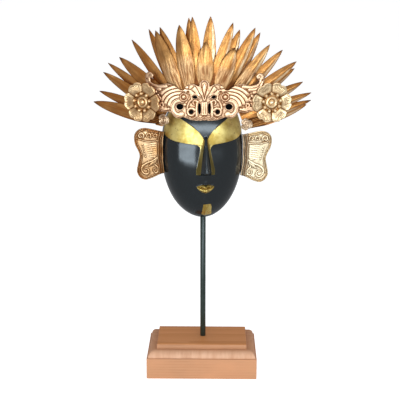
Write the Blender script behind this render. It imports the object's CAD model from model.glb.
"""Photo scene of the wood and copper mask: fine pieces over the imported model, materials, light and camera.

Lengths are metres and the sizes repeat those of part.py. Z is up and the face looks along -Y.
"""

import math

import bmesh
import bpy
import numpy as np
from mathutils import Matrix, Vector


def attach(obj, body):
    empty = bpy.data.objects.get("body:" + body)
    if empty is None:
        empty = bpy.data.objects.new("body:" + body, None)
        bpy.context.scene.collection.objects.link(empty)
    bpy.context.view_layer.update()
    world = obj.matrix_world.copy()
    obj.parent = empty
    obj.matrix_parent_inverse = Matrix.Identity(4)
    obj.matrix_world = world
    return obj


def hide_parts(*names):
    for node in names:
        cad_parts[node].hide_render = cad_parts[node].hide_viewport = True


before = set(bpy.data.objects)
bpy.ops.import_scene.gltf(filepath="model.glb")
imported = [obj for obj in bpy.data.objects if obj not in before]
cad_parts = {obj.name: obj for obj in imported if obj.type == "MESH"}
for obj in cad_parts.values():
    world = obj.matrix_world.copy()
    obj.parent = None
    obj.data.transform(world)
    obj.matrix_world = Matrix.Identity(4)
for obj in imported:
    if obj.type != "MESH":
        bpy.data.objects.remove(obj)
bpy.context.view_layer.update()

# The CAD's sizes
GAP = 0.0003
BASE_WIDTH = 0.150
BASE_DEPTH = 0.093
BLOCK_HEIGHT = 0.029
OVOLO_HEIGHT = 0.0095
OVOLO_LEDGE = 0.0018
OVOLO_DEPTH = 0.0095
SHELF_DEPTH = 0.0022
SHELF_Z = BLOCK_HEIGHT + OVOLO_HEIGHT
BASE_HEIGHT = 0.045
BASE_ROUNDING = 0.0008

ROD_RADIUS = 0.00375
ROD_X = 0.0012
ROD_BOTTOM = 0.0213
ROD_TOP = 0.2387

MASK_HALF_WIDTH = 0.0545
MASK_BOTTOM = 0.216
MASK_WIDEST = 0.305
MASK_TOP = 0.385
MASK_DEPTH = 0.044
MASK_EDGE = 0.005
MASK_WALL = 0.006
CHIN_BLOCK = 0.026
MASK_X = -0.001
MASK_RIM_Y = 0.018
MASK_TURN = math.radians(8)
RIM_ROUNDING = 0.0008

MOUTH_Z = 0.263
LIPS_TOP = MOUTH_Z + 0.010
NOSE_BASE_Z = 0.280
NOSE_TIP_Z = 0.2865
BROW_Z = 0.330
NOSE_HEIGHT = 0.015
NOSE_ROOT_HALF = 0.0024
NOSE_BASE_HALF = 0.012
NOSE_RIDGE_HALF = 0.0016
LIP_HALF_WIDTH = 0.0125
LIP_HEIGHT = 0.0042
LIP_SPREAD = 0.0038
CHIN_BOSS_Z = 0.237
CHIN_BOSS_RADIUS = 0.014
CHIN_BOSS_HEIGHT = 0.003
BROW_OVERHANG = 0.0022
BROW_STEP = 0.0012
BROW_EDGE = 0.0004
SOCKET_FADE = 0.032

SHEET = 0.0009
FAN_X = 0.001
FAN_Z = 0.336
ROOT_RADIUS = 0.0545
LEAN = 0.10
LEAN_FROM_Z = 0.380
BEND_ROUNDING = 0.010
FOLD_STARTS = 0.058
FOLD_FULL = 0.094
FOLD_LIMIT = 0.0025
FOLD_ALLOWANCE = 0.0027
BELLY_SHARE = 0.38
BLUNT_TIP = 0.0004
STRIP_END_ANGLE = math.radians(7)

BAND_X = 0.0032
BAND_BOTTOM = 0.353
BAND_THICKNESS = 0.0018
BAND_STANDOFF = 0.0038
WING_STANDOFF = 0.0135

FLOWER_RADIUS = 0.0270
FLOWER_PETALS = 6
FLOWER_SHEET = 0.0012
FLOWER_CUP = 0.0020
FLOWER_POST_RADIUS = 0.005

EAR_THICKNESS = 0.0012
EAR_HEIGHT = 0.070
EAR_WIDTH = 0.0385
EAR_FOLD_DEPTH = 0.017
EAR_FLANGE = 0.010

TEMPLE_RADIUS = 0.0085
TEMPLE_LOBES = 3
TEMPLE_POST = 0.0010
TEMPLE_BACK = 0.0020
TEMPLE_POST_RADIUS = 0.0018

# Sizes that the scene adds: soft joins and the relief on the sheets
GOLD_SWEEP = 0.010
GOLD_PATCH_X = 0.0026
GOLD_PATCH_Z = 0.232
GOLD_PATCH_BOTTOM = 0.2235
GOLD_PATCH_TOP = 0.2405
LIP_GROOVE_Z = 0.2735
FOLD_EASE = 0.16
RIB_HEIGHT = 0.00125
EAR_RIB_HEIGHT = 0.0013

# Each blade: tip angle, reach from the fan's centre, root angle, width, row (0 back, 1 middle, 2 front)
BLADES = (
    (168.5, 0.1535, 166, 0.0182, 1),
    (162.3, 0.1490, 159, 0.0135, 0),
    (154.0, 0.1420, 150, 0.0090, 0),
    (151.9, 0.1530, 154, 0.0155, 2),
    (146.7, 0.1535, 147, 0.0137, 1),
    (140.1, 0.1455, 137, 0.0186, 2),
    (128.9, 0.1500, 130, 0.0142, 1),
    (118.4, 0.1490, 125, 0.0135, 0),
    (115.2, 0.1440, 122, 0.0204, 2),
    (112.5, 0.1455, 114, 0.0173, 1),
    (102.3, 0.1415, 107, 0.0215, 2),
    (97.0, 0.1480, 101, 0.0161, 0),
    (95.2, 0.1490, 96, 0.0162, 1),
    (86.2, 0.1490, 84, 0.0186, 0),
    (88.1, 0.1180, 88, 0.0215, 2),
    (74.7, 0.1460, 79, 0.0162, 1),
    (70.3, 0.1400, 69, 0.0167, 0),
    (69.5, 0.1175, 70, 0.0215, 2),
    (63.4, 0.1500, 62, 0.0173, 1),
    (60.0, 0.1475, 57, 0.0154, 0),
    (52.7, 0.1420, 51, 0.0162, 2),
    (45.7, 0.1475, 44, 0.0155, 1),
    (36.8, 0.1515, 38, 0.0162, 2),
    (34.2, 0.1445, 33, 0.0141, 0),
    (26.1, 0.1455, 26, 0.0142, 1),
    (19.5, 0.1505, 21, 0.0124, 2),
    (15.7, 0.1475, 13, 0.0124, 1),
    (13.9, 0.1405, 8, 0.0161, 0),
)


def ease(value, start=0.0, run=1.0):
    """A soft step from 0 to 1 over a run that begins at start."""
    value = np.clip((value - start) / run, 0.0, 1.0)
    return value * value * (3 - 2 * value)


def peak(value, width):
    """A bell of height 1 at 0."""
    return np.exp(-(value / width) ** 2)


def dome(share):
    """A half circle's height: 1 where share is 0, falling to 0 at 1 and beyond."""
    return np.sqrt(np.maximum(0, 1 - share ** 2))


def arch(share, power):
    """A rounded arch: 1 where share is 0, falling to 0 where share is 1."""
    return np.maximum(0.0, 1 - np.abs(share) ** power) ** (1 / power)


def ripple(x, y, size, seed):
    """Smooth unevenness between about -1 and 1, with waves of about one size."""
    random = np.random.default_rng(seed)
    total = np.zeros(np.broadcast(x, y).shape)
    for _ in range(7):
        turn = random.uniform(0, 2 * math.pi)
        wave = 2 * math.pi / (size * random.uniform(0.7, 1.6))
        total += np.sin((x * math.cos(turn) + y * math.sin(turn)) * wave + random.uniform(0, 6.3))
    return total / 4


# Meshes
def tube_faces(rings, points):
    """Faces of a closed tube of rings with as many points each, capped at both ends."""
    row, column = np.meshgrid(np.arange(rings - 1), np.arange(points), indexing="ij")
    near = row * points + column
    beside = row * points + (column + 1) % points
    sides = np.stack((near, beside, beside + points, near + points), axis=-1).reshape(-1, 4).tolist()
    last = (rings - 1) * points
    return sides + [list(range(points)), list(range(last, last + points))]


def new_piece(node, slot, crease, points, faces, material, **fields):
    """One visible piece with float fields on its points, standing for a CAD node."""
    name = node + "_fine"
    mesh = bpy.data.meshes.new(name)
    mesh.from_pydata(points.reshape(-1, 3).tolist(), [], faces)
    for label, values in fields.items():
        field = mesh.attributes.new(label, "FLOAT", "POINT")
        values = np.broadcast_to(values, points.shape[:-1])
        field.data.foreach_set("value", np.array(values, dtype=np.float32).ravel())
    bm = bmesh.new()
    bm.from_mesh(mesh)
    bmesh.ops.recalc_face_normals(bm, faces=bm.faces)
    bm.to_mesh(mesh)
    bm.free()
    mesh.shade_smooth()
    mesh.set_sharp_from_angle(angle=math.radians(crease))
    mesh.materials.append(material)
    piece = bpy.data.objects.new(name, mesh)
    bpy.context.scene.collection.objects.link(piece)
    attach(piece, "root")
    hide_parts(node)


def new_tube(node, slot, crease, rings, material, **fields):
    """A piece whose points are rings of equal length, with its two ends capped."""
    rings = np.asarray(rings)
    new_piece(node, slot, crease, rings, tube_faces(*rings.shape[:2]), material, **fields)


# Materials
class Surface:
    """A new material with one Principled shader, and short calls for the nodes that drive it.

    Values are output sockets; set() also takes a number or a colour for the shader's input.
    """

    def __init__(self, name):
        self.material = bpy.data.materials.new(name)
        self.material.use_nodes = True
        self.tree = self.material.node_tree
        self.shader = self.tree.nodes["Principled BSDF"]

    def add(self, kind, inputs=None, **settings):
        node = self.tree.nodes.new("ShaderNode" + kind)
        for label, setting in settings.items():
            setattr(node, label, setting)
        for label, value in (inputs or {}).items():
            self.feed(node.inputs[label], value)
        return node

    def feed(self, socket, value):
        """Link a value into a socket, or write a number, a vector or a colour there."""
        if isinstance(value, bpy.types.NodeSocket):
            self.tree.links.new(value, socket)
        elif isinstance(value, tuple) and socket.type == "RGBA":
            socket.default_value = (*value, 1.0)
        else:
            socket.default_value = value

    def set(self, **inputs):
        """Feed the shader's inputs, written with _ for each space in their names."""
        for label, value in inputs.items():
            self.feed(self.shader.inputs[label.replace("_", " ")], value)

    def linked(self, label):
        """The value that drives one of the shader's inputs."""
        return self.shader.inputs[label].links[0].from_socket

    def place(self):
        """The place in the row frame."""
        return self.add("TexCoord").outputs["Object"]

    def noise(self, scale, detail=4.0, stretch=None, rough=0.55, source=None):
        """Noise in the row frame, or at a source; stretch is a scale for each axis."""
        source = source or self.place()
        if stretch:
            source = self.add("Mapping", {"Vector": source, "Scale": stretch}).outputs[0]
        inputs = {"Vector": source, "Scale": scale, "Detail": detail, "Roughness": rough}
        return self.add("TexNoise", inputs).outputs["Fac"]

    def field(self, label):
        return self.add("Attribute", attribute_name=label).outputs["Fac"]

    def spread(self, value, low, high, low_to=0.0, high_to=1.0):
        """The value moved from one range to another, and kept inside it."""
        return self.add("MapRange", dict(enumerate((value, low, high, low_to, high_to)))).outputs[0]

    def sum(self, kind, first, second):
        """Two values, or a value and a number, put together by a kind of sum."""
        return self.add("Math", {0: first, 1: second}, operation=kind).outputs[0]

    def times(self, first, second):
        return self.sum("MULTIPLY", first, second)

    def mix(self, share, first, second):
        """A blend of two colours."""
        return self.add("Mix", {"Factor": share, 6: first, 7: second}, data_type="RGBA").outputs[2]

    def bump(self, height, distance, strength):
        inputs = {"Height": height, "Distance": distance, "Strength": strength}
        return self.add("Bump", inputs).outputs["Normal"]


def copper(name, dark, light, groove, roughness):
    """Worked copper: grooves hold a darker tone, and the sheet is uneven in colour and in shine."""
    metal = Surface(name)
    patches = metal.spread(metal.noise(45.0), 0.35, 0.65)
    tone = metal.sum("ADD", metal.times(patches, 0.45), metal.field("tone"))
    sheet = metal.mix(metal.spread(tone, 0.0, 1.0), dark, light)
    raised = metal.spread(metal.field("relief"), 0.0, 1.0)
    metal.set(Base_Color=metal.mix(raised, groove, sheet), Metallic=1.0,
              Roughness=metal.spread(metal.noise(420.0), 0.3, 0.7, roughness - 0.08, roughness + 0.10),
              Normal=metal.bump(metal.noise(260.0, 3.0), 0.0004, 0.35))
    return metal


def blade_copper():
    """Blade copper with chased lines along the blade, where the chase field is above zero."""
    metal = copper("worked blade copper", (0.55, 0.19, 0.03), (0.76, 0.40, 0.14), (0.12, 0.035, 0.008), 0.34)
    chase, relief = metal.field("chase"), metal.field("relief")
    along = metal.times(metal.field("along"), 0.15)
    axes = {"X": metal.field("across"), "Y": along, "Z": metal.field("tone")}
    source = metal.add("CombineXYZ", axes).outputs[0]
    lines = metal.spread(metal.noise(430.0, 2.0, None, 0.5, source), 0.38, 0.62)
    streaks = metal.spread(metal.noise(170.0, 2.0, None, 0.5, source), 0.47, 0.63, 0.0, 0.7)
    chased = metal.times(lines, chase)
    metal.feed(metal.linked("Normal").node.inputs["Normal"], metal.bump(chased, 0.0006, 0.7))
    colour = metal.mix(metal.field("bright"), metal.linked("Base Color"), (1.0, 0.80, 0.52))
    colour = metal.mix(metal.times(streaks, relief), colour, (0.38, 0.12, 0.02))
    colour = metal.mix(metal.spread(chase, 0.4, 1.0, 0.0, 0.5), colour, (0.75, 0.49, 0.255))
    dark = metal.times(metal.sum("SUBTRACT", chase, chased), relief)
    metal.set(Base_Color=metal.mix(dark, colour, (0.30, 0.11, 0.03)),
              Metallic=metal.spread(chase, 0.3, 1.0, 0.92, 0.70),
              Roughness=metal.sum("ADD", metal.linked("Roughness"), metal.times(chase, 0.14)))
    return metal.material


BLADE_COPPER = blade_copper()
BAND_COPPER, FLOWER_COPPER, EAR_COPPER, SCROLL_METAL = (copper(*looks).material for looks in (
    ("worked band copper", (0.76, 0.40, 0.20), (0.90, 0.60, 0.38), (0.18, 0.06, 0.015), 0.42),
    ("worked flower copper", (0.84, 0.46, 0.18), (1.0, 0.74, 0.44), (0.24, 0.09, 0.02), 0.42),
    ("worked ear copper", (0.60, 0.30, 0.11), (0.96, 0.78, 0.52), (0.17, 0.06, 0.015), 0.38),
    ("pale scroll metal", (0.74, 0.46, 0.25), (0.96, 0.76, 0.54), (0.22, 0.10, 0.04), 0.42)))


def lacquer_and_gold():
    """Black lacquer, with leaf gold where the gold field is above zero."""
    lacquer = Surface("lacquer and leaf gold")
    waves = lacquer.bump(lacquer.noise(60.0, 2.0, (1, 1, 0.4)), 0.0006, 0.05)
    lacquer.set(Base_Color=(0.006, 0.008, 0.009), Specular_IOR_Level=0.0, Normal=waves, Coat_Normal=waves,
                Roughness=lacquer.spread(lacquer.noise(90.0), 0.3, 0.7, 0.20, 0.32),
                Coat_Weight=lacquer.field("shine"), Coat_Roughness=0.165)

    worn = lacquer.spread(lacquer.noise(70.0, 6.0), 0.38, 0.66)
    spots = lacquer.spread(lacquer.noise(190.0, 5.0), 0.60, 0.72)
    colour = lacquer.mix(worn, (0.45, 0.29, 0.06), (0.80, 0.62, 0.22))
    colour = lacquer.mix(spots, colour, (0.34, 0.20, 0.06))
    rough = lacquer.spread(lacquer.noise(300.0), 0.3, 0.7, 0.34, 0.52)
    polished = lacquer.times(lacquer.field("polish"), 0.15)
    gold = lacquer.add("BsdfPrincipled", {
        "Base Color": lacquer.mix(lacquer.field("leaf"), (0.20, 0.15, 0.04), colour),
        "Metallic": 0.9,
        "Roughness": lacquer.sum("SUBTRACT", rough, polished),
        "Normal": lacquer.bump(lacquer.noise(200.0), 0.0004, 0.5)})

    ragged = lacquer.times(lacquer.sum("SUBTRACT", lacquer.noise(500.0), 0.5), 0.0008)
    share = lacquer.spread(lacquer.sum("ADD", lacquer.field("gold"), ragged), -0.0001, 0.0001)
    both = lacquer.add("MixShader", {0: share, 1: lacquer.shader.outputs[0], 2: gold.outputs[0]})
    lacquer.feed(lacquer.tree.nodes["Material Output"].inputs["Surface"], both.outputs[0])
    return lacquer.material


def base_wood():
    """Fine-grained reddish wood: growth rings round an axis along the base, pores and soft patches.

    The moulding's front is paler and mottled, and the flat top is deeper.
    """
    wood = Surface("reddish wood")
    mapping = {"Vector": wood.place(), "Location": (0.0, 0.030, 0.110), "Scale": (0.10, 1.0, 1.0)}
    source = wood.add("Mapping", mapping).outputs[0]
    wave = {"Vector": source, "Scale": 75.0, "Distortion": 5.0, "Detail": 3.0, "Detail Scale": 0.35}
    rings = wood.add("TexWave", wave, wave_type="RINGS", rings_direction="X", wave_profile="SAW")
    fibres = wood.noise(900.0, 3.0, (0.04, 1, 1))
    share = wood.sum("ADD", wood.times(rings.outputs["Fac"], 0.45), wood.times(fibres, 0.55))
    lines = wood.spread(share, 0.25, 0.75)
    colour = wood.mix(lines, (0.475, 0.235, 0.122), (0.41, 0.187, 0.090))
    patches = wood.spread(wood.noise(22.0, 3.0, (0.5, 1, 1)), 0.35, 0.65)
    colour = wood.mix(patches, colour, (0.52, 0.24, 0.118))

    where = wood.add("SeparateXYZ", {0: wood.place()}).outputs
    pale = wood.spread(wood.noise(130.0, 3.0, (1, 0.2, 0.2)), 0.36, 0.64, 0.35, 1.0)
    for axis, start, end, at_start in ((2, BLOCK_HEIGHT - 0.0002, BLOCK_HEIGHT + 0.0010, 0.0),
                                       (2, SHELF_Z - 0.0002, SHELF_Z + 0.0004, 1.0),
                                       (1, 0.0045 - BASE_DEPTH / 2, 0.0130 - BASE_DEPTH / 2, 1.0)):
        pale = wood.times(pale, wood.spread(where[axis], start, end, at_start, 1.0 - at_start))
    colour = wood.mix(pale, colour, (0.64, 0.36, 0.225))
    on_top = wood.spread(where[2], BASE_HEIGHT - 0.0008, BASE_HEIGHT - 0.0001)
    deep = wood.mix(lines, (0.58, 0.235, 0.083), (0.51, 0.20, 0.067))
    wood.set(Base_Color=wood.mix(on_top, colour, deep), Specular_IOR_Level=0.15,
             Roughness=wood.spread(share, 0.2, 0.8, 0.42, 0.55), Normal=wood.bump(share, 0.0003, 0.35))
    return wood.material


def rod_paint():
    paint = Surface("dark green rod paint")
    tone = paint.spread(paint.noise(60.0), 0.35, 0.65)
    paint.set(Base_Color=paint.mix(tone, (0.007, 0.015, 0.010), (0.016, 0.027, 0.020)),
              Roughness=paint.spread(paint.noise(300.0), 0.3, 0.7, 0.28, 0.42),
              Normal=paint.bump(paint.noise(500.0, 2.0), 0.0002, 0.3))
    return paint.material


# Base and rod
def rectangle_ring(half_x, half_y, z):
    """A rounded rectangle: the arc of each corner is followed by the points of a side."""
    arcs = []
    for quarter, signs in enumerate(((1, 1), (-1, 1), (-1, -1), (1, -1))):
        turns = math.pi / 2 * (quarter + np.linspace(0, 1, 5))
        centre = np.array(signs) * (half_x - BASE_ROUNDING, half_y - BASE_ROUNDING)
        arcs.append(centre + BASE_ROUNDING * np.stack((np.cos(turns), np.sin(turns)), axis=1))
    ring = []
    for corner, following in zip(arcs, arcs[1:] + arcs[:1]):
        ring += [*corner, *np.linspace(corner[-1], following[0], 25)[1:-1]]
    return np.column_stack((ring, np.full(len(ring), z)))


def make_base():
    """Rings along the moulding's profile, each with its distance inside the base's outline and its height."""
    profile = [(0.0006, 0.0), (0.0001, 0.0003), (0.0, 0.0009), (0.0, 0.010), (0.0, 0.020),
               (0.0, BLOCK_HEIGHT - 0.0008), (0.0002, BLOCK_HEIGHT - 0.0002), (0.0008, BLOCK_HEIGHT)]
    profile += [(OVOLO_LEDGE + OVOLO_DEPTH * (1 - math.cos(turn)),
                 BLOCK_HEIGHT + OVOLO_HEIGHT * math.sin(turn)) for turn in np.linspace(0, math.pi / 2, 13)]
    riser = OVOLO_LEDGE + OVOLO_DEPTH + SHELF_DEPTH
    profile += [(riser - 0.0003, SHELF_Z), (riser, SHELF_Z + 0.0003), (riser, BASE_HEIGHT - 0.0010),
                (riser + 0.0003, BASE_HEIGHT - 0.0003)]
    profile += [(riser + inward, BASE_HEIGHT) for inward in (0.0010, 0.006, 0.015, 0.025)]
    rings = np.array([rectangle_ring(BASE_WIDTH / 2 - inset, BASE_DEPTH / 2 - inset, z)
                      for inset, z in profile])
    rings[..., 1] *= 1 - 0.0006 * np.abs(ripple(rings[..., 0], rings[..., 2], 0.05, 3))
    new_tube("base", "base_wood", 32, rings, base_wood())


def make_rod():
    turns = np.linspace(0, 2 * math.pi, 64, endpoint=False)
    edge = 0.0006
    places = ((edge, ROD_BOTTOM), (0, ROD_BOTTOM + edge), (0, 0.1), (0, ROD_TOP - edge), (edge, ROD_TOP))
    rings = []
    for inset, z in places:
        radius = ROD_RADIUS - inset
        ring = (ROD_X + radius * np.cos(turns), radius * np.sin(turns), np.full(64, z))
        rings.append(np.stack(ring, axis=-1))
    new_tube("rod", "rod_paint", 60, rings, rod_paint())


# Mask: the face and the hollow as depths in front of the rim
def two_arches(z, bottom, top, lower_power, upper_power):
    """1 at the mask's widest height, with an arch down to 0 at the bottom and another up to 0 at the top."""
    below = np.clip((MASK_WIDEST - z) / (MASK_WIDEST - bottom), 0, 1)
    above = np.clip((z - MASK_WIDEST) / (top - MASK_WIDEST), 0, 1)
    return np.where(z < MASK_WIDEST, arch(below, lower_power), arch(above, upper_power))


def mask_half_width(z):
    return MASK_HALF_WIDTH * two_arches(z, MASK_BOTTOM, MASK_TOP, 2.05, 2.6)


def profile(z, bottom=MASK_BOTTOM, top=MASK_TOP):
    return two_arches(z, bottom, top, 3.2, 2.5)


def brow_low(side):
    return BROW_Z - 0.0105 + 0.0065 * np.abs(side) + 0.008 * np.abs(side) ** 8


def brow_high(side):
    return np.maximum(BROW_Z - 0.0154 + 0.047 * np.abs(side) ** 0.4, brow_low(side) + 0.002)


def brow_relief(side, z):
    """The step round the brows and the eye sockets under them, which fade towards the bridge of the nose."""
    low = brow_low(side)
    above_low = ease(z, low - BROW_EDGE, 2 * BROW_EDGE)
    above_high = ease(z, brow_high(side) - BROW_EDGE, 2 * BROW_EDGE)
    socket = (1 - ease(low - z, 0, SOCKET_FADE)) * (1 - above_low)
    return (-BROW_STEP * (1 - above_high) - BROW_OVERHANG * socket) * ease(np.abs(side), 0, 0.12)


def nose_half(z):
    along = np.clip((BROW_Z - z) / (BROW_Z - NOSE_TIP_Z), 0, 1)
    lower = NOSE_ROOT_HALF + (NOSE_BASE_HALF - NOSE_ROOT_HALF) * along
    return np.where(z > BROW_Z, NOSE_ROOT_HALF + 0.5 * (z - BROW_Z), lower)


def nose_relief(x, z):
    along = (BROW_Z - z) / (BROW_Z - NOSE_TIP_Z)
    under = np.clip((NOSE_TIP_Z - z) / (NOSE_TIP_Z - NOSE_BASE_Z), 0, 1)
    height = NOSE_HEIGHT * np.where(z > NOSE_TIP_Z, 0.10 + 0.90 * along, 1 - under ** 2)
    half = nose_half(z)
    flank = np.clip((half - np.abs(x)) / (half - NOSE_RIDGE_HALF), 0, 1)
    rounded = flank - 0.06 * peak(flank - 1, 0.10)
    return np.where((z <= BROW_Z) & (z >= NOSE_BASE_Z), height * rounded, 0.0)


def mouth_share(x, z):
    """Two lips that thin out to the corners, with a bow in the upper one, from 0 to 1."""
    across = np.minimum(1, np.abs(x) / LIP_HALF_WIDTH)
    above = z - (MOUTH_Z + 0.0004 + 0.0016 * (x / LIP_HALF_WIDTH) ** 2)
    upper_height = 0.0052 * (1 - across ** 1.7) * (1 - 0.22 * peak(x, 0.0020)) + 0.0001
    lower_height = 0.0074 * (1 - across ** 2.2) + 0.0001
    upper = np.sin(math.pi * np.clip(above / upper_height, 0, 1) ** 0.8)
    lower = np.sin(math.pi * np.clip(-above / lower_height, 0, 1) ** 0.9)
    return (1 - across ** 2.5) ** 0.8 * np.maximum(0.85 * upper, lower)


def face_depth(x, z):
    side = np.clip(x / np.maximum(mask_half_width(z), 1e-6), -1, 1)
    across = arch(side, 2.2)
    form = (MASK_DEPTH - MASK_EDGE) * profile(z) * across
    chin = CHIN_BOSS_HEIGHT * peak(np.hypot(x, z - CHIN_BOSS_Z), CHIN_BOSS_RADIUS)
    lip_groove = 0.0008 * peak(x, 0.0016) * peak(z - LIP_GROOVE_Z, 0.0032)
    carving = brow_relief(side, z) + nose_relief(x, z) + LIP_HEIGHT * mouth_share(x, z) + chin - lip_groove
    return MASK_EDGE + form + carving * ease(3.0 * across)


def hollow_depth(x, z):
    bottom = MASK_BOTTOM + CHIN_BLOCK
    top = MASK_TOP - MASK_WALL
    half = mask_half_width(z) - MASK_WALL
    inside = (z > bottom) & (z < top) & (np.abs(x) < half)
    across = arch(np.where(inside, x / np.maximum(half, 1e-6), 1.0), 2.2)
    return np.where(inside, (MASK_DEPTH - MASK_WALL) * profile(z, bottom, top) * across, 0.0)


def mask_place(x, depth, z):
    x, depth, z = np.broadcast_arrays(x, depth, z)
    return np.stack((MASK_X + x * math.cos(MASK_TURN) + depth * math.sin(MASK_TURN),
                     MASK_RIM_Y + x * math.sin(MASK_TURN) - depth * math.cos(MASK_TURN), z), axis=-1)


def gold_field(side, x, z):
    """How far inside the gilded parts a place of the face is, negative outside them."""
    down = np.clip((BROW_Z - z) / (BROW_Z - NOSE_TIP_Z), 0, 1)
    off_ridge = np.abs(x) - (0.0014 + 0.0056 * down)
    brow = np.minimum(z - brow_low(side), (0.985 - np.abs(side)) * 0.05)
    strip = np.minimum(nose_half(z) + 0.0003 - np.abs(x), z - NOSE_BASE_Z - 0.001)
    sweep = 0.25 * GOLD_SWEEP * np.maximum(0, 1 - np.abs(brow - strip) / GOLD_SWEEP) ** 2
    brow = np.minimum(np.maximum(brow, strip) + sweep, np.minimum(off_ridge, brow_high(side) - z))
    lips = (mouth_share(x, z) - 0.16) * 0.004
    patch = np.minimum(z - GOLD_PATCH_BOTTOM, GOLD_PATCH_TOP - z)
    patch = np.minimum(0.0062 - 0.08 * (z - GOLD_PATCH_Z) - np.abs(x - GOLD_PATCH_X), patch)
    patch = patch + 0.0005 * ripple(x, z, 0.004, 9)
    return np.maximum(brow, np.maximum(lips, patch))


# Rows of the mask between its named heights, and how much they crowd towards the lower one
MASK_ROWS = ((60, 1.0), (26, 0), (10, 0), (10, 0), (50, 0), (4, 0), (26, 0), (4, 0), (52, -0.9))


def mask_levels(side):
    """Heights of every row at places across the face, which follow the mouth, nose and brows."""
    low, high = brow_low(side), brow_high(side)
    stops = (MASK_BOTTOM + 0.00002, MOUTH_Z - 2 * LIP_SPREAD, MOUTH_Z + 2 * LIP_SPREAD, NOSE_BASE_Z,
             NOSE_TIP_Z, low - BROW_EDGE, low + BROW_EDGE, high - BROW_EDGE, high + BROW_EDGE,
             MASK_TOP - 0.00002)
    rows = []
    for (count, crowd), start, end in zip(MASK_ROWS, stops, stops[1:]):
        for share in np.arange(count) / count:
            rows.append(start + (end - start) * (share - crowd * share * (1 - share)))
    rows.append(stops[-1])
    return np.array([row + 0 * low for row in rows])


def make_mask():
    middle = mask_levels(0.0)
    half = mask_half_width(middle)
    ridge = np.minimum(NOSE_RIDGE_HALF / half, 0.15)
    foot = np.minimum(nose_half(middle) / half, 0.5)
    columns = [ridge * step / 5 for step in range(5)]
    columns += [ridge + (foot - ridge) * step / 14 for step in range(14)]
    columns += [foot + (1 - foot) * math.sin(math.pi / 2 * step / 56) for step in range(57)]
    right = np.stack(columns, axis=1)
    sides = np.concatenate((-right[:, :0:-1], right), axis=1)
    rows = np.arange(len(middle))
    column = np.ones((len(middle), 1))

    def heights(side):
        return mask_levels(side)[rows, rows]

    z = heights(sides)
    x = sides * mask_half_width(z)
    depth = face_depth(x, z) + 0.00003 * ripple(x, z, 0.016, 5) * ease((1 - np.abs(sides)) * 20)
    front = mask_place(x, depth, z)

    edge_z = heights(column)
    edge_half = mask_half_width(edge_z)
    rounding = np.minimum(RIM_ROUNDING, 0.3 * edge_half)
    rim = [(0, 0.6 * MASK_EDGE), (0, rounding), (0.3 * rounding, 0.3 * rounding), (rounding, 0)]
    left_rim = [mask_place(inset - edge_half, depth, edge_z) for inset, depth in reversed(rim)]
    right_rim = [mask_place(edge_half - inset, depth, edge_z) for inset, depth in rim]

    back_side = np.cos(math.pi * np.arange(61) / 60) * column
    back_z = heights(back_side)
    back_half = mask_half_width(back_z)
    back_x = back_side * np.maximum(back_half - MASK_WALL, 0.35 * back_half)
    back = mask_place(back_x, hollow_depth(back_x, back_z), back_z)

    points = np.concatenate(left_rim + [front] + right_rim + [back], axis=1)
    height = points[..., 2]
    gold = np.full(height.shape, -0.002)
    gold[:, len(rim):len(rim) + sides.shape[1]] = gold_field(sides, x, z)
    leaf = np.where(edge_z < LIPS_TOP, 1.0, ease(height, NOSE_BASE_Z + 0.010, 0.040))
    leaf = leaf * (1 - 0.35 * (edge_z > MOUTH_Z + 0.0004) * (edge_z < LIPS_TOP))
    new_tube("mask", "mask_lacquer", 50, points, lacquer_and_gold(), gold=gold, leaf=leaf,
             polish=height < LIPS_TOP, shine=1 - ease(height, BAND_BOTTOM + 0.006, 0.006))


# Crown
def soft_ramp(value):
    return BEND_ROUNDING * np.log1p(np.exp(value / BEND_ROUNDING))


def crown_bend(x):
    return 0.625 * soft_ramp(-0.030 - x) + 0.23 * soft_ramp(x - 0.020)


def crown_offset():
    """Where the crown's sheet stands, so that the band clears the forehead."""
    x = MASK_HALF_WIDTH * 0.75 * np.arange(-20, 21) / 20
    spots = mask_place(x, face_depth(x, np.full_like(x, BAND_BOTTOM)), BAND_BOTTOM)
    return min(0.0, float(np.min(spots[:, 1] - crown_bend(spots[:, 0])))) - GAP + BAND_STANDOFF


CROWN_Y = crown_offset()


def crown_y(x, z):
    return CROWN_Y + crown_bend(x) + LEAN * (z - LEAN_FROM_Z)


def band_y(x):
    wing = ease(np.abs(x - BAND_X), 0.020, 0.045)
    return CROWN_Y + crown_bend(x) - BAND_STANDOFF - (WING_STANDOFF - BAND_STANDOFF) * wing


def fan_point(angle, radius):
    turn = math.radians(angle)
    return np.array((FAN_X + radius * math.cos(turn), FAN_Z + radius * math.sin(turn)))


def blade_half_width(share, width):
    root = 0.26 * width
    belly = 0.5 * width
    widening = root + (belly - root) * ease(share, 0, BELLY_SHARE)
    tail = np.clip((share - BELLY_SHARE) / (1 - BELLY_SHARE), 0, 1)
    return np.where(share < BELLY_SHARE, widening, np.maximum(BLUNT_TIP, belly * (1 - tail ** 2.3) ** 0.78))


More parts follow.
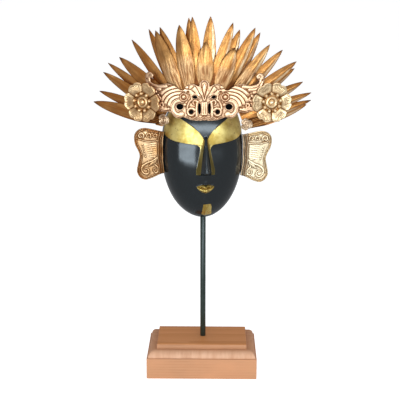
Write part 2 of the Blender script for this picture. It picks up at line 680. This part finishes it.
def make_blade(number, tip_angle, reach, root_angle, width, row):
    """A folded leaf of copper; share runs from its root to its tip and side from edge to edge, 1 to -1.

    The middle blades of the front row are chased, and the outermost ones are fluted at their roots.
    """
    root = fan_point(root_angle, ROOT_RADIUS)
    tip = fan_point(tip_angle, reach)
    length = np.linalg.norm(tip - root)
    along = (tip - root) / length
    across = np.array((-along[1], along[0]))
    share = np.linspace(0, 1, 64)[:, None]
    share = share + 0.12 * share * (1 - share)
    side = np.linspace(1, -1, 25)
    off_ridge = np.abs(side)
    half = blade_half_width(share, width)
    spots = root + share[..., None] * (tip - root) + across * (half * side)[..., None]
    x, z = spots[..., 0], spots[..., 1]

    rise = (ROOT_RADIUS + share * (reach - ROOT_RADIUS) - FOLD_STARTS) / (FOLD_FULL - FOLD_STARTS)
    rise = np.maximum(0, rise - FOLD_EASE * np.log1p(np.exp((rise - 1) / FOLD_EASE)))
    slope = 0.24 if width >= 0.0150 else 0.38
    lift = np.minimum(slope * half, FOLD_LIMIT) * rise * (1 - off_ridge - 0.10 * peak(side, 0.10))
    chase = np.full(x.shape, 0.30)
    is_chased = row == 2 and 45 < tip_angle < 125
    if is_chased:
        chase += 0.7 * (1 - ease(share, 0.44, 0.20)) * ease((1 - off_ridge) * 5)
    flutes = np.zeros(x.shape)
    is_fluted = min(tip_angle, 180 - tip_angle) < 18
    if is_fluted:
        waves = 0.5 + 0.5 * np.cos(side * math.pi * 4.5 + 0.5 * ripple(share, share, 0.4, number))
        flutes += waves * (1 - ease(share, 0.30, 0.30)) * ease((1 - off_ridge) * 6)
    back = crown_y(x, z) - GAP - row * (SHEET + GAP + FOLD_ALLOWANCE * rise) - lift
    uneven = 0.00014 * ripple(x, z, 0.016, 40 + number) * ease(share * 4)
    front = np.minimum(back - SHEET + 0.0006 * flutes + uneven, back - 0.0003)
    sheets = np.stack((x, back, z), axis=-1), np.stack((x, front, z), axis=-1)[:, ::-1]

    tip_shade = ease(share, 0.88, 0.10)
    root_shade = (0.2 if is_fluted else (1.0, 0.9, 0.05)[row]) * (1 - ease(share, 0.12, 0.38))
    edge_shade = ease(off_ridge, 0.84, 0.16) * (0.45 + 0.4 * ease(share, 0.5, 0.4))
    left_facet = np.clip(side * 8, 0, 1) * (0.10 + 0.10 * ease(share, 0.3, 0.3))
    relief = 1 - 0.60 * tip_shade - 0.75 * flutes - edge_shade - root_shade - left_facet
    relief = relief - 0.30 * np.clip(ripple(x, z, 0.020, 80 + number), 0, 1)
    tone = (0.05, 0.15, 0.50 if is_chased else 0.15)[row] + 0.20 * np.random.default_rng(number).random()
    bright = 0.7 * (tip_angle < 87) * ease(-side, 0.30, 0.25) * (1 - ease(-side, 0.70, 0.22))
    bright = bright * ease(share, 0.30, 0.15) * (1 - ease(share, 0.86, 0.08))
    fields = {"relief": relief, "tone": tone, "chase": chase, "bright": bright,
              "across": half * side + 0.03 * number, "along": share * length}
    for label, values in fields.items():
        values = np.broadcast_to(values, x.shape)
        fields[label] = np.concatenate((values, values[:, ::-1]), axis=1)
    rings = np.concatenate(sheets, axis=1)
    new_tube("blade_%02d" % number, "blade_copper", 40, rings, BLADE_COPPER, **fields)


def make_strip():
    """The arched strip behind the blades' roots, with its edges rolled over."""
    turns = np.linspace(STRIP_END_ANGLE, math.pi - STRIP_END_ANGLE, 110)[:, None]
    radii = (0.0535, 0.0533, 0.0536, 0.0560, 0.0600, 0.0628, 0.0631, 0.0629, 0.0627, 0.0600, 0.0560, 0.0538)
    depths = (0.0003, 0.0007, 0.0012, 0.0010, 0.0010, 0.0012, 0.0007, 0.0003, 0.0001, 0.0001, 0.0001, 0.0001)
    x = FAN_X + radii * np.cos(turns)
    z = FAN_Z + radii * np.sin(turns)
    points = np.stack((x, crown_y(x, z) + depths, z), axis=-1)
    new_tube("crown_strip", "blade_copper", 60, points, BLADE_COPPER, relief=0.8, tone=0.3)


# Embossed sheets: a fine grid cut to an outline, raised by a height for each place, then bent
def closed_curve(points, steps=8):
    """A smooth closed line through points."""
    b = np.array(points)[:, None]
    a, c, d = (np.roll(b, shift, 0) for shift in (1, -1, -2))
    t = (np.arange(steps) / steps)[None, :, None]
    curve = 2 * b + (c - a) * t + (2 * a - 5 * b + 4 * c - d) * t ** 2 + (3 * b - a - 3 * c + d) * t ** 3
    return 0.5 * curve.reshape(-1, 2)


def line_distance(spots, line):
    """Distance of each spot from a line, and how far along the line its nearest place is, from 0 to 1."""
    nearest = np.full(len(spots), np.inf)
    place = np.zeros(len(spots))
    for number, (start, end) in enumerate(zip(line, line[1:])):
        run = end - start
        share = np.clip(((spots - start) @ run) / max(float(run @ run), 1e-18), 0, 1)
        away = np.hypot(*(spots - start - share[:, None] * run).T)
        closer = away < nearest
        nearest = np.where(closer, away, nearest)
        place = np.where(closer, (number + share) / (len(line) - 1), place)
    return nearest, place


def inside_line(spots, line):
    """True for the spots inside a closed line."""
    x, y = spots.T
    crossings = np.zeros(len(spots), dtype=int)
    for (x1, y1), (x2, y2) in zip(line, np.roll(line, -1, 0)):
        if y1 != y2:
            crossings += ((y1 > y) != (y2 > y)) & (x < x1 + (y - y1) * (x2 - x1) / (y2 - y1))
    return crossings % 2 == 1


def sheet_depth(spots, outline, holes):
    """How far inside the sheet a spot is, negative outside it or in a hole."""
    depth = np.full(len(spots), np.inf)
    for line, sign in ((outline, 1), *((hole, -1) for hole in holes)):
        away, _ = line_distance(spots, np.concatenate((line, line[:1])))
        depth = np.minimum(depth, sign * np.where(inside_line(spots, line), away, -away))
    return depth


def blurred(grid, radius):
    """The grid smoothed over about radius cells each way."""
    reach = 3 * radius
    weights = np.exp(-0.5 * (np.arange(-reach, reach + 1) / radius) ** 2)
    weights /= weights.sum()
    for _ in range(2):
        padded = np.pad(grid, ((reach, reach), (0, 0)), mode="edge")
        grid = sum(weight * padded[step:step + len(grid)] for step, weight in enumerate(weights)).T
    return grid


def cut_grid(outline, holes, cell, height_of):
    """Grid points, quads and border of a sheet, with its rim moved onto the outline, and its sharpness.

    The sharpness is how far a place stands above its surroundings, which is least in a crevice.
    """
    low = outline.min(0) - 2 * cell
    columns, rows = np.ceil((outline.max(0) + 2 * cell - low) / cell).astype(int) + 1
    grid_x, grid_y = np.meshgrid(low[0] + cell * np.arange(columns), low[1] + cell * np.arange(rows))
    spots = np.stack((grid_x.ravel(), grid_y.ravel()), axis=1)
    depth = sheet_depth(spots, outline, holes)
    height = height_of(spots, depth).reshape(rows, columns)
    sharpness = (height - blurred(height, 2)).ravel()

    index = np.arange(rows * columns).reshape(rows, columns)
    quads = np.stack((index[:-1, :-1], index[:-1, 1:], index[1:, 1:], index[1:, :-1]), axis=-1)
    quads = quads[depth[quads].sum(axis=-1) > 0]
    used, quads = np.unique(quads, return_inverse=True)
    quads = quads.reshape(-1, 4)
    spots = spots[used]
    edges = np.concatenate([quads[:, [i, (i + 1) % 4]] for i in range(4)])
    keys = np.sort(edges, axis=1) @ (len(spots), 1)
    _, first, counts = np.unique(keys, return_index=True, return_counts=True)
    border = edges[first[counts == 1]]

    rim = np.unique(border)
    step = cell * 0.2
    for _ in range(3):
        here = sheet_depth(spots[rim], outline, holes)
        slope = [sheet_depth(spots[rim] + shift, outline, holes) - here for shift in ((step, 0), (0, step))]
        spots[rim] -= (here * slope / np.maximum(np.hypot(*slope), 1e-9)).T
    return spots, quads, border, sharpness[used]


def embossed_piece(node, slot, outline, holes, cell, height_of, thickness, bend, material, tone,
                   dark_to=-1.0, crevice=0.00036):
    """Build the sheet's front, back and edge; height_of gives the relief's height at each spot.

    The sheet's tint is darker up to the place dark_to across it, and black in a crevice of a given depth.
    """
    spots, quads, border, sharpness = cut_grid(outline, holes, cell, height_of)
    x, y = spots.T
    depth = sheet_depth(spots, outline, holes)
    height = height_of(spots, depth)
    eased = 0.0004 * ease(depth, 0.0006, -0.0006)
    front = thickness - 0.0002 + height - eased + 0.00006 * ripple(x, y, 0.009, 8)
    back = 0.25 * np.maximum(height, 0) * ease(depth, 0, 0.002) + 0.5 * eased
    points = np.concatenate((bend(x, y, front), bend(x, y, back)))
    start, end = border.T
    wall = np.stack((start, end, end + len(x), start + len(x)), axis=1)
    faces = np.concatenate((quads, quads[:, ::-1] + len(x), wall[:, ::-1])).tolist()
    tint = np.clip(0.80 + sharpness / crevice, 0, 1) * (1 - 0.55 * ease(x, dark_to, -0.002))
    new_piece(node, slot, 50, points, faces, material, relief=np.concatenate((tint, 0.6 * tint)), tone=tone)


def arc(x, y, radius_x, radius_y, start, end, steps=24, end_radius=1.0):
    """An arc or spiral in degrees; end_radius is the share of its radius left at the end."""
    share = np.linspace(0, 1, steps + 1)
    turn = np.radians(start + (end - start) * share)
    size = 1 + (end_radius - 1) * share
    return np.stack((x + radius_x * size * np.cos(turn), y + radius_y * size * np.sin(turn)), axis=1)


class Relief:
    """Heights at the places of a sheet, raised and cut along lines; rise is the height of a full rib."""

    def __init__(self, x, y, rise):
        self.spots = np.stack((x, y), axis=1)
        self.height = np.zeros(len(x))
        self.rise = rise

    def lift(self, share, where=True):
        """Raise the places to a share of the full height, unless they are higher already."""
        self.height = np.where(where, np.maximum(self.height, self.rise * share), self.height)

    def near(self, line, reach):
        """The places about a line, their distances from it and how far along it they are."""
        line = np.asarray(line, dtype=float)
        near = np.all((self.spots > line.min(0) - reach) & (self.spots < line.max(0) + reach), axis=1)
        return near, *line_distance(self.spots[near], line)

    def ridge(self, line, radius, taper=0.0, share=1.0):
        """Raise a rounded rib along a line; taper thins it towards the line's end."""
        near, away, place = self.near(line, radius)
        rib = share * self.rise * dome(away / (radius * (1 - taper * place)))
        self.height[near] = np.maximum(self.height[near], rib)

    def ridges(self, *ribs):
        for rib in ribs:
            self.ridge(*rib)

    def groove(self, line, width, depth):
        near, away, _ = self.near(line, 3 * width)
        self.height[near] -= depth * peak(away, width)

    def bead(self, x, y, radius, share=1.0):
        away = np.hypot(self.spots[:, 0] - x, self.spots[:, 1] - y)
        self.lift(share * dome(away / radius))


# Relief band: half of its outline, as distance from the middle and height, from the bottom up
BAND_HALF_OUTLINE = (
    (0.000, 0.0005), (0.008, 0.0000), (0.017, 0.0007), (0.0235, 0.0030), (0.0275, 0.0042),
    (0.0335, 0.0025), (0.0400, 0.0055), (0.0450, 0.0110), (0.0540, 0.0105), (0.0650, 0.0130),
    (0.0780, 0.0135), (0.0875, 0.0135), (0.0925, 0.0205), (0.0875, 0.0280), (0.0780, 0.0320),
    (0.0755, 0.0420), (0.0770, 0.0510), (0.0765, 0.0580), (0.0715, 0.0615), (0.0665, 0.0585),
    (0.0670, 0.0540), (0.0700, 0.0520), (0.0690, 0.0480), (0.0600, 0.0455), (0.0490, 0.0475),
    (0.0390, 0.0450), (0.0310, 0.0395), (0.0265, 0.0400), (0.0235, 0.0445), (0.0170, 0.0475),
    (0.0110, 0.0460), (0.0075, 0.0445), (0.0060, 0.0485), (0.0032, 0.0515), (0.000, 0.0525),
)

# Each hole: its middle and its half width and half height
BAND_HOLES = (
    (0.0063, 0.0155, 0.0018, 0.0074),
    (0.0318, 0.0178, 0.0046, 0.0040),
    (0.0170, 0.0112, 0.0028, 0.0028),
    (0.0120, 0.0305, 0.0030, 0.0022),
)


def feather_place(x, z):
    """How far out a place is across the wing's nested feathers: 0 at the scroll, 1 at the outermost edge."""
    low = np.full(x.shape, -0.4)
    high = np.full(x.shape, 2.0)
    for _ in range(18):
        middle = (low + high) / 2
        size = np.abs(x / (0.0125 + 0.0205 * middle)) ** 2.2 + np.abs(z / (0.0120 + 0.0170 * middle)) ** 2.2
        low = np.where(size > 1, middle, low)
        high = np.where(size > 1, high, middle)
    return (low + high) / 2


def across_bars(share):
    """How far a place is from the middle of its bar, where each bar is one share wide."""
    return np.abs(2 * (share - np.floor(share)) - 1)


def band_height(spots, depth):
    """Relief of the band, the same on both halves: feathers, shell, scrolls, beads, stem and hooked ends."""
    x = np.abs(spots[:, 0] - BAND_X)
    z = spots[:, 1] - BAND_BOTTOM
    relief = Relief(x, z, RIB_HEIGHT)

    # four nested feathers of the wing, each rounded across and ending in a round tip
    wing_x, wing_z = x - 0.0310, z - 0.0170
    feather = feather_place(wing_x, wing_z)
    turn = np.degrees(np.arctan2(wing_z, wing_x))
    end = np.array((2.0, 8.0, 15.0, 30.0))[np.clip(np.floor(feather * 4), 0, 3).astype(int)]
    tip = np.clip((turn - end) / 9.0, 0, 1)
    bar = np.maximum(0, 1 - across_bars(feather * 4) ** 5.0) ** 0.7 * dome(1 - tip)
    relief.lift(bar, (feather > 0) & (feather < 1.04) & (turn > end) & (turn < 112))

    # shell above the middle: ruffled lobes on each side of an outlined petal with a drop in it
    shell_z = 0.0245
    turn = np.degrees(np.arctan2(x, z - shell_z))
    away = np.hypot(x, z - shell_z)
    lobe = np.maximum(0, 1 - across_bars((turn - 13) / 17) ** 2.4) ** 0.6 * ease(away, 0.005, 0.006)
    relief.lift(0.95 * lobe, (turn > 13) & (turn < 64) & (away < 0.0235))
    for share in (0.32, 0.50, 0.68):
        for lobe_number in range(3):
            angle = math.radians(13 + 17 * (lobe_number + share))
            ray = [(out * math.sin(angle), shell_z + out * math.cos(angle)) for out in (0.014, 0.0225)]
            relief.groove(ray, 0.00035, 0.0003)
    relief.ridge([(0.0008, 0.0265), (0.0022, 0.0330), (0.0044, 0.0400), (0.0056, 0.0455), (0.0046, 0.0495),
                  (0.0022, 0.0516), (0.0, 0.0520)], 0.0011)
    drop = np.hypot(x / (0.0006 + 0.0022 * ease(z, 0.031, 0.011)), (z - 0.0395) / 0.0085)
    relief.lift(0.9 * dome(drop))

    # stem between the slots, the arms beside them and the curls at the small holes
    relief.lift(0.95 * dome((x / 0.0044) ** 2) * ease(z, 0.0062, 0.0015) * ease(z, 0.0262, -0.0030))
    relief.groove([(0.0016, 0.0085), (0.0013, 0.0240)], 0.0004, 0.0004)
    relief.ridges(([(0.0100, 0.0062), (0.0102, 0.0150), (0.0096, 0.0215), (0.0085, 0.0245)], 0.0019),
                  (arc(0.0124, 0.0232, 0.0034, 0.0036, 185, -60, 22, 0.6), 0.0015, 0.2),
                  (arc(0.0170, 0.0112, 0.0050, 0.0050, 150, -165, 30, 0.86), 0.0019, 0.2),
                  (arc(0.0120, 0.0305, 0.0052, 0.0042, -40, 150, 20), 0.0013),
                  ([(0.0160, 0.0275), (0.0195, 0.0245), (0.0215, 0.0200), (0.0225, 0.0155)], 0.0016),
                  (arc(0.0212, 0.0355, 0.0040, 0.0046, 210, -10, 20, 0.7), 0.0013))

    # large scroll: a wide ring with a line round it and a curled end
    relief.ridge(arc(0.0325, 0.0165, 0.0088, 0.0094, 118, -100, 34), 0.0030, 0, 1.05)
    relief.groove(arc(0.0325, 0.0165, 0.0100, 0.0108, 112, -96, 30), 0.00040, 0.00045)
    relief.bead(0.0300, 0.0078, 0.0042, 1.15)
    relief.bead(0.0255, 0.0205, 0.0024)

    # ringed bead
    away = np.hypot(x - 0.0268, z - 0.0305)
    bead = RIB_HEIGHT * np.maximum(peak(away - 0.0047, 0.0010), 1.2 * dome(away / 0.0028))
    relief.height = np.where(away < 0.0062, bead, relief.height)

    # swags along the lower border
    swag = z - 0.0036 - 0.0013 * np.cos(2 * math.pi * x / 0.0105)
    bow = peak(swag, 0.0009) + 0.8 * peak(swag + 0.0022, 0.0006)
    relief.lift(0.85 * np.minimum(bow, 1), (z < 0.0068) & (x < 0.0225))

    # tail and hooked scroll at the upper end, and curls below the feathers' tips
    tail = [(0.0500, 0.0440), (0.0600, 0.0430), (0.0680, 0.0450), (0.0722, 0.0500), (0.0728, 0.0545)]
    relief.ridges((tail, 0.0026, 0.3),
                  ([(0.0580, 0.0400), (0.0660, 0.0405), (0.0722, 0.0440), (0.0750, 0.0500)], 0.0026, 0.3),
                  ([(0.0640, 0.0365), (0.0710, 0.0380), (0.0745, 0.0415)], 0.0026, 0.3),
                  (arc(0.0705, 0.0562, 0.0042, 0.0040, -20, 230, 26, 0.45), 0.0023, 0.3),
                  (arc(0.0600, 0.0285, 0.0042, 0.0038, 80, -230, 26, 0.5), 0.0019, 0.2),
                  (arc(0.0555, 0.0195, 0.0030, 0.0030, 120, -200, 22, 0.6), 0.0016, 0.2))
    relief.bead(0.0703, 0.0560, 0.0024)

    # leaves under the wing, running out behind the flower
    for step in range(4):
        relief.ridge([(0.0465 + 0.0040 * step, 0.0150 + 0.0006 * step),
                      (0.0560 + 0.0075 * step, 0.0125 + 0.0010 * step)], 0.0019, 0.5, 0.9)
    for step in range(6):
        relief.ridge([(0.0650 + 0.0035 * step, 0.0300), (0.0665 + 0.0045 * step, 0.0150)], 0.0016, 0.3, 0.7)
    relief.lift(0.40 * ease(depth, 0.0013, -0.0007))
    return relief.height


def make_relief_band():
    def mirrored(points, side):
        return [(BAND_X + side * x, BAND_BOTTOM + z) for x, z in points]

    def bend(x, z, height):
        return np.stack((x, band_y(x) - height, z), axis=-1)

    outline = closed_curve(mirrored(BAND_HALF_OUTLINE, 1) + mirrored(BAND_HALF_OUTLINE[-2:0:-1], -1))
    holes = [np.array(mirrored(arc(*hole, 0, 345, 23), side)) for side in (1, -1) for hole in BAND_HOLES]
    embossed_piece("relief_band", "band_copper", outline, holes, 0.00045, band_height, BAND_THICKNESS, bend,
                   BAND_COPPER, 0.45)


# Flowers and temple scrolls: rings of points round a middle
def lobed_ring(lobes, steps, radius, waist):
    """Turns of a ring's points, their unit circle, the lobed edge's reach there and their shares of a lobe.

    A lobe points upwards, as in the CAD, whose rings start at a lobe's edge.
    """
    count = lobes * steps
    turns = 2 * math.pi * (np.arange(count) - 2) / count
    share = ((turns + math.pi / lobes) * lobes / (2 * math.pi)) % 1.0
    lobe = np.abs(np.sin(math.pi * share)) ** 0.45
    reach = radius * (waist + (1 - waist) * lobe - 0.075 * peak(share - 0.5, 0.08))
    return turns, np.array((np.cos(turns), np.sin(turns)))[:, None], reach, share


def slope_at(line, x):
    return math.atan(float(line(x + 0.002) - line(x - 0.002)) / 0.004)


def facing(seat, lift, turn):
    """A function that places points of a round piece, which stands off its seat and faces a turn."""
    across = np.array((math.cos(turn), math.sin(turn), 0))
    forward = np.array((math.sin(turn), -math.cos(turn), 0))

    def place_point(x, y, height):
        x, y, height = (values[..., None] for values in np.broadcast_arrays(x, y, height))
        return seat + forward * lift + across * x + np.array((0, 0, 1.0)) * y + forward * height
    return place_point


def make_flower(name, x, z, turn, post, tone, seed):
    """A domed flower with veined, curled petals, a ring of dots and a beaded middle, on a post."""
    seat = (x, float(band_y(x)) - BAND_THICKNESS - GAP, z)
    stand = post + FLOWER_POST_RADIUS * abs(math.sin(turn - slope_at(band_y, x)))
    place_point = facing(seat, stand, turn)
    _, circle, reach, share = lobed_ring(FLOWER_PETALS, 46, FLOWER_RADIUS, 0.80)
    t = np.linspace(0.012, 1, 70)[:, None]
    radius = FLOWER_RADIUS * t * (1 + (reach / FLOWER_RADIUS - 1) * ease(t, 0.35, 0.65))
    px, py = radius * circle
    from_edge = np.minimum(share, 1 - share) * 2
    outward = ease(radius, 0.0075, 0.006)
    back = FLOWER_CUP * np.clip((radius - FLOWER_POST_RADIUS) / (FLOWER_RADIUS - FLOWER_POST_RADIUS), 0, 1)
    swell = 0.0011 * (np.sin(math.pi * share) ** 0.8 - 0.55) - 0.0010 * peak(from_edge, 0.06)
    veins = sum(peak(share - 0.5 - offset * (0.55 + 0.45 * radius / FLOWER_RADIUS), 0.016)
                for offset in (-0.30, -0.20, -0.10, 0.0, 0.10, 0.20, 0.30))
    veins = np.minimum(veins, 1) * ease(radius, 0.0145, 0.004) * (1 - ease(t, 0.86, 0.1))
    curl = 0.0007 * ease(t, 0.86, 0.10) - 0.0009 * ease(t, 0.965, 0.035)
    core = 0.0008 * peak(radius - 0.0059, 0.0010) + 0.0004 + 0.0026 * dome(radius / 0.0036)
    core = core * (1 - ease(radius, 0.007, 0.003))
    dots = np.zeros(radius.shape)
    dot_ring = 0.0114
    for spot in 2 * math.pi * (np.arange(9) + 0.3) / 9:
        away = np.hypot(px - dot_ring * math.cos(spot), py - dot_ring * math.sin(spot))
        dots = np.maximum(dots, dome(away / 0.0025))
    relief = swell * outward - 0.00045 * veins + curl + 0.0030 * dots + core
    front = back + FLOWER_SHEET + relief + 0.00012 * ripple(px, py, 0.012, seed)
    hollow = back + np.maximum(0, 0.3 * relief) * ease((1 - t) * 20)

    keep = radius[:, 0] > FLOWER_POST_RADIUS * 1.1
    edge = place_point(px[-1:] * 1.003, py[-1:] * 1.003, (front[-1:] + hollow[-1:]) / 2)
    reverse = place_point(*(values[keep][::-1] for values in (px, py, hollow)))
    rings = [place_point(px, py, front), edge, reverse]
    for size, height in ((1.0, 0.0), (0.97, -post * 0.9), (0.9, -post)):
        rings.append(place_point(*(FLOWER_POST_RADIUS * size * circle), height))

    tint = np.clip(0.95 - 0.55 * veins - 0.9 * peak(from_edge, 0.07) * outward
                   - 0.9 * peak(radius - 0.0041, 0.0006) - 0.8 * peak(radius - 0.0080, 0.0009)
                   - 0.90 * peak(radius - dot_ring, 0.0028) * (1 - dots) + 0.9 * dots
                   - 0.25 * ease(t, 0.90, -0.3) * outward, 0, 1)
    plain = np.full((1, reach.size), 0.8)
    tint = np.concatenate([tint, plain, tint[keep][::-1]] + [plain] * 3)
    new_tube(name, "band_copper", 60, np.concatenate(rings), FLOWER_COPPER, relief=tint, tone=tone)


def make_temple_scroll(name, angle, radius):
    """A small three-lobed scroll of paler metal with a spiral raised on it."""
    x, z = fan_point(angle, radius)
    blade_front = float(crown_y(x, z)) - GAP - (SHEET + GAP) - SHEET
    seat = (x, blade_front - GAP - TEMPLE_BACK * LEAN, z)
    place_point = facing(seat, TEMPLE_POST, slope_at(crown_bend, x))
    turns, circle, reach, _ = lobed_ring(TEMPLE_LOBES, 40, TEMPLE_RADIUS, 0.55)
    t = np.linspace(0.03, 1, 30)[:, None]
    px, py = reach * t * circle
    ridges = np.sin(math.pi * (turns / (2 * math.pi) + reach * t / 0.0032)) ** 2
    height = 0.0010 + 0.0009 * t ** 2 + 0.0011 * ridges * ease((1 - t) * 9)
    back = place_point(px[::-1], py[::-1], 0.0009 * t[::-1] ** 2)[:3 * len(t) // 4]
    post = [place_point(*(TEMPLE_POST_RADIUS * circle), end) for end in (0.0, -TEMPLE_POST)]
    tint = np.concatenate([0.45 + 0.55 * ridges, np.full((len(back) + 2, reach.size), 0.6)])
    rings = np.concatenate([place_point(px, py, height), back] + post)
    new_tube(name, "scroll_metal", 60, rings, SCROLL_METAL, relief=tint, tone=0.4)


# Ear plates
EAR_OUTLINE = (
    (0.02, 0.930), (0.30, 0.965), (0.66, 1.000), (0.88, 0.970), (1.00, 0.870), (0.965, 0.700),
    (0.845, 0.560), (0.800, 0.455), (0.870, 0.310), (0.945, 0.165), (0.880, 0.045), (0.710, 0.000),
    (0.44, 0.040), (0.16, 0.110), (0.02, 0.130),
)
EAR_FLANGE_SPAN = (0.17, 0.40, 0.65, 0.89)


def mask_side(depth, z):
    form = (MASK_DEPTH - MASK_EDGE) * profile(z)
    return mask_half_width(z) * arch(np.clip(np.maximum(0, depth - MASK_EDGE) / form, 0, 1), 2.2)


def ear_height(spots, depth):
    """Relief of an ear plate: border lines, three curls above, ribs at the waist, leaf and spiral below."""
    w, h = EAR_WIDTH, EAR_HEIGHT
    x, y = spots.T
    relief = Relief(x, y, EAR_RIB_HEIGHT)

    # folded strip next to the mask, with two upright ribs
    for place, width in ((0.0028, 0.0009), (0.0060, 0.0011)):
        relief.lift(peak(x - place - 0.0005 * np.sin(y / h * 19.0), width))

    # three hooked curls along the top lobe
    for share, size in ((0.30, 0.85), (0.52, 1.0), (0.78, 1.15)):
        curl = arc(share * w, 0.852 * h, 0.0036 * size, 0.0042 * size, 215, -150, 30, 0.35)
        relief.ridge(curl, 0.0012 * size, 0.25)
    under = [(0.20 * w, 0.760 * h), (0.40 * w, 0.745 * h), (0.62 * w, 0.755 * h), (0.86 * w, 0.790 * h)]
    relief.ridge(under, 0.0011, 0.2)

    # fine ribs across the waist and a row of small beads
    for step in range(8):
        level = (0.44 + 0.036 * step) * h
        relief.ridge([(0.26 * w, level), ((0.48 + 0.01 * step) * w, level + 0.0012)], 0.0009, 0.5, 0.22)
    for step in range(6):
        relief.bead((0.60 + 0.020 * step) * w, (0.455 + 0.045 * step) * h, 0.0013, 0.5)

    # leaf and spiral in the lower lobe
    leaf = [(0.20 * w, 0.430 * h), (0.36 * w, 0.370 * h), (0.56 * w, 0.330 * h), (0.74 * w, 0.270 * h)]
    relief.ridges((leaf, 0.0016),
                  (arc(0.62 * w, 0.185 * h, 0.0066, 0.0072, 62, -300, 40, 0.30), 0.0016, 0.25),
                  (arc(0.30 * w, 0.200 * h, 0.0046, 0.0062, 100, 420, 34, 0.35), 0.0014, 0.25))
    for step in range(4):
        start = ((0.22 + 0.05 * step) * w, (0.405 - 0.020 * step) * h)
        finish = ((0.30 + 0.07 * step) * w, (0.300 - 0.012 * step) * h)
        relief.ridge([start, finish], 0.0012, 0.5, 0.8)

    # two lines along the outer edge
    rim = peak(depth - 0.0007, 0.0007) + 0.85 * peak(depth - 0.0031, 0.0006)
    relief.lift(np.minimum(rim, 1) * ease(x, 0.006, 0.002))
    return relief.height * ease(x, 0.0006, 0.001)


def make_ear_plate(name, side, top, bend_angle, tone, crevice):
    """A sheet folded into an L: its flange lies on the mask's side and the rest stands out from the mask."""
    outline = [(u * EAR_WIDTH, v * EAR_HEIGHT) for u, v in EAR_OUTLINE]
    outline += [(-EAR_FLANGE, v * EAR_HEIGHT) for v in EAR_FLANGE_SPAN]

    def bend(x, y, height):
        z = top - EAR_HEIGHT + y
        flange_depth = EAR_FOLD_DEPTH - EAR_THICKNESS + np.minimum(x, 0)
        flange_out = mask_side(flange_depth, z) + GAP + np.maximum(0, EAR_THICKNESS - height)
        flat_depth = EAR_FOLD_DEPTH - EAR_THICKNESS + height - x * math.sin(bend_angle)
        flat_out = mask_side(EAR_FOLD_DEPTH, z) + GAP + EAR_THICKNESS + x * math.cos(bend_angle)
        out = np.where(x < 0, flange_out, flat_out)
        return mask_place(side * out, np.where(x < 0, flange_depth, flat_depth), z)

    embossed_piece(name, "ear_copper", closed_curve(outline), [], 0.0004, ear_height, EAR_THICKNESS, bend,
                   EAR_COPPER, tone, 0.0085, crevice)


make_base()
make_rod()
make_mask()
make_strip()
for blade_number, blade in enumerate(BLADES, start=1):
    make_blade(blade_number, *blade)
make_relief_band()
make_flower("flower_left", -0.0752, BAND_BOTTOM + 0.0222, math.radians(-26), 0.0045, 0.30, 21)
make_flower("flower_right", 0.0895, BAND_BOTTOM + 0.0235, math.radians(13), 0.0010, 0.75, 22)
make_ear_plate("ear_plate_left", -1, MASK_WIDEST + 0.035, math.radians(8), -0.05, 0.00034)
make_ear_plate("ear_plate_right", 1, MASK_WIDEST + 0.029, math.radians(-8), 0.85, 0.00060)
make_temple_scroll("temple_scroll_left", 162, ROOT_RADIUS - 0.0020)
make_temple_scroll("temple_scroll_right", 11.5, ROOT_RADIUS + 0.0030)


# Floor, light and camera
def make_floor():
    size = 40.0
    mesh = bpy.data.meshes.new("floor")
    corners = [(-size, -size, 0), (size, -size, 0), (size, size, 0), (-size, size, 0)]
    mesh.from_pydata(corners, [], [(0, 1, 2, 3)])
    paper = Surface("white paper floor")
    paper.set(Base_Color=paper.mix(paper.noise(3.0), (0.88, 0.88, 0.88), (0.92, 0.92, 0.92)), Roughness=0.9,
              Specular_IOR_Level=0.1, Emission_Color=(1, 1, 1), Emission_Strength=0.60)
    mesh.materials.append(paper.material)
    floor = bpy.data.objects.new("floor", mesh)
    floor.location = (0, 0, -0.0002)
    floor.visible_glossy = False
    bpy.context.scene.collection.objects.link(floor)


def add_light(name, spot, aim, width, height, radiance, colour=(1, 1, 1)):
    """A soft box that sends out an even brightness towards its aim."""
    light = bpy.data.lights.new(name, "AREA")
    light.shape = "RECTANGLE"
    light.size = width
    light.size_y = height
    light.energy = radiance * math.pi * width * height
    light.color = colour
    item = bpy.data.objects.new(name, light)
    item.location = spot
    item.rotation_euler = (Vector(aim) - Vector(spot)).to_track_quat("-Z", "Y").to_euler()
    bpy.context.scene.collection.objects.link(item)


COOL_WHITE = (0.76, 0.90, 1.0)
make_floor()
add_light("low_window", (-0.62, -1.52, 0.255), (-0.62, 0, 0.255), 1.24, 0.19, 10.2, COOL_WHITE)
add_light("table_glow", (-0.40, -1.54, 0.075), (-0.40, 0, 0.075), 0.80, 0.14, 2.0, COOL_WHITE)
add_light("high_window", (0.48, -1.52, 0.61), (0.48, 0, 0.61), 2.06, 0.28, 10.2, COOL_WHITE)
add_light("overhead", (0, 0.1, 1.8), (0, 0, 0.2), 1.2, 1.2, 1.4)

world = bpy.data.worlds.new("white room")
world.use_nodes = True
background = world.node_tree.nodes["Background"]
background.inputs["Color"].default_value = (0.97, 0.98, 1.0, 1.0)
background.inputs["Strength"].default_value = 0.46
scene = bpy.context.scene
scene.world = world
scene.view_settings.view_transform = "Standard"

# The focal length comes from the photo, 917.6 of its pixels where it is 400 wide
SENSOR_WIDTH = 36.0
camera_data = bpy.data.cameras.new("photo camera")
camera_data.sensor_width = SENSOR_WIDTH
camera_data.lens = 917.6 * SENSOR_WIDTH / 400
camera = bpy.data.objects.new("photo camera", camera_data)
camera.location = (0.016, -1.2, 0.55)
camera.rotation_euler = (math.radians(90 - 14.45), 0, math.radians(0.9))
scene.collection.objects.link(camera)
scene.camera = camera
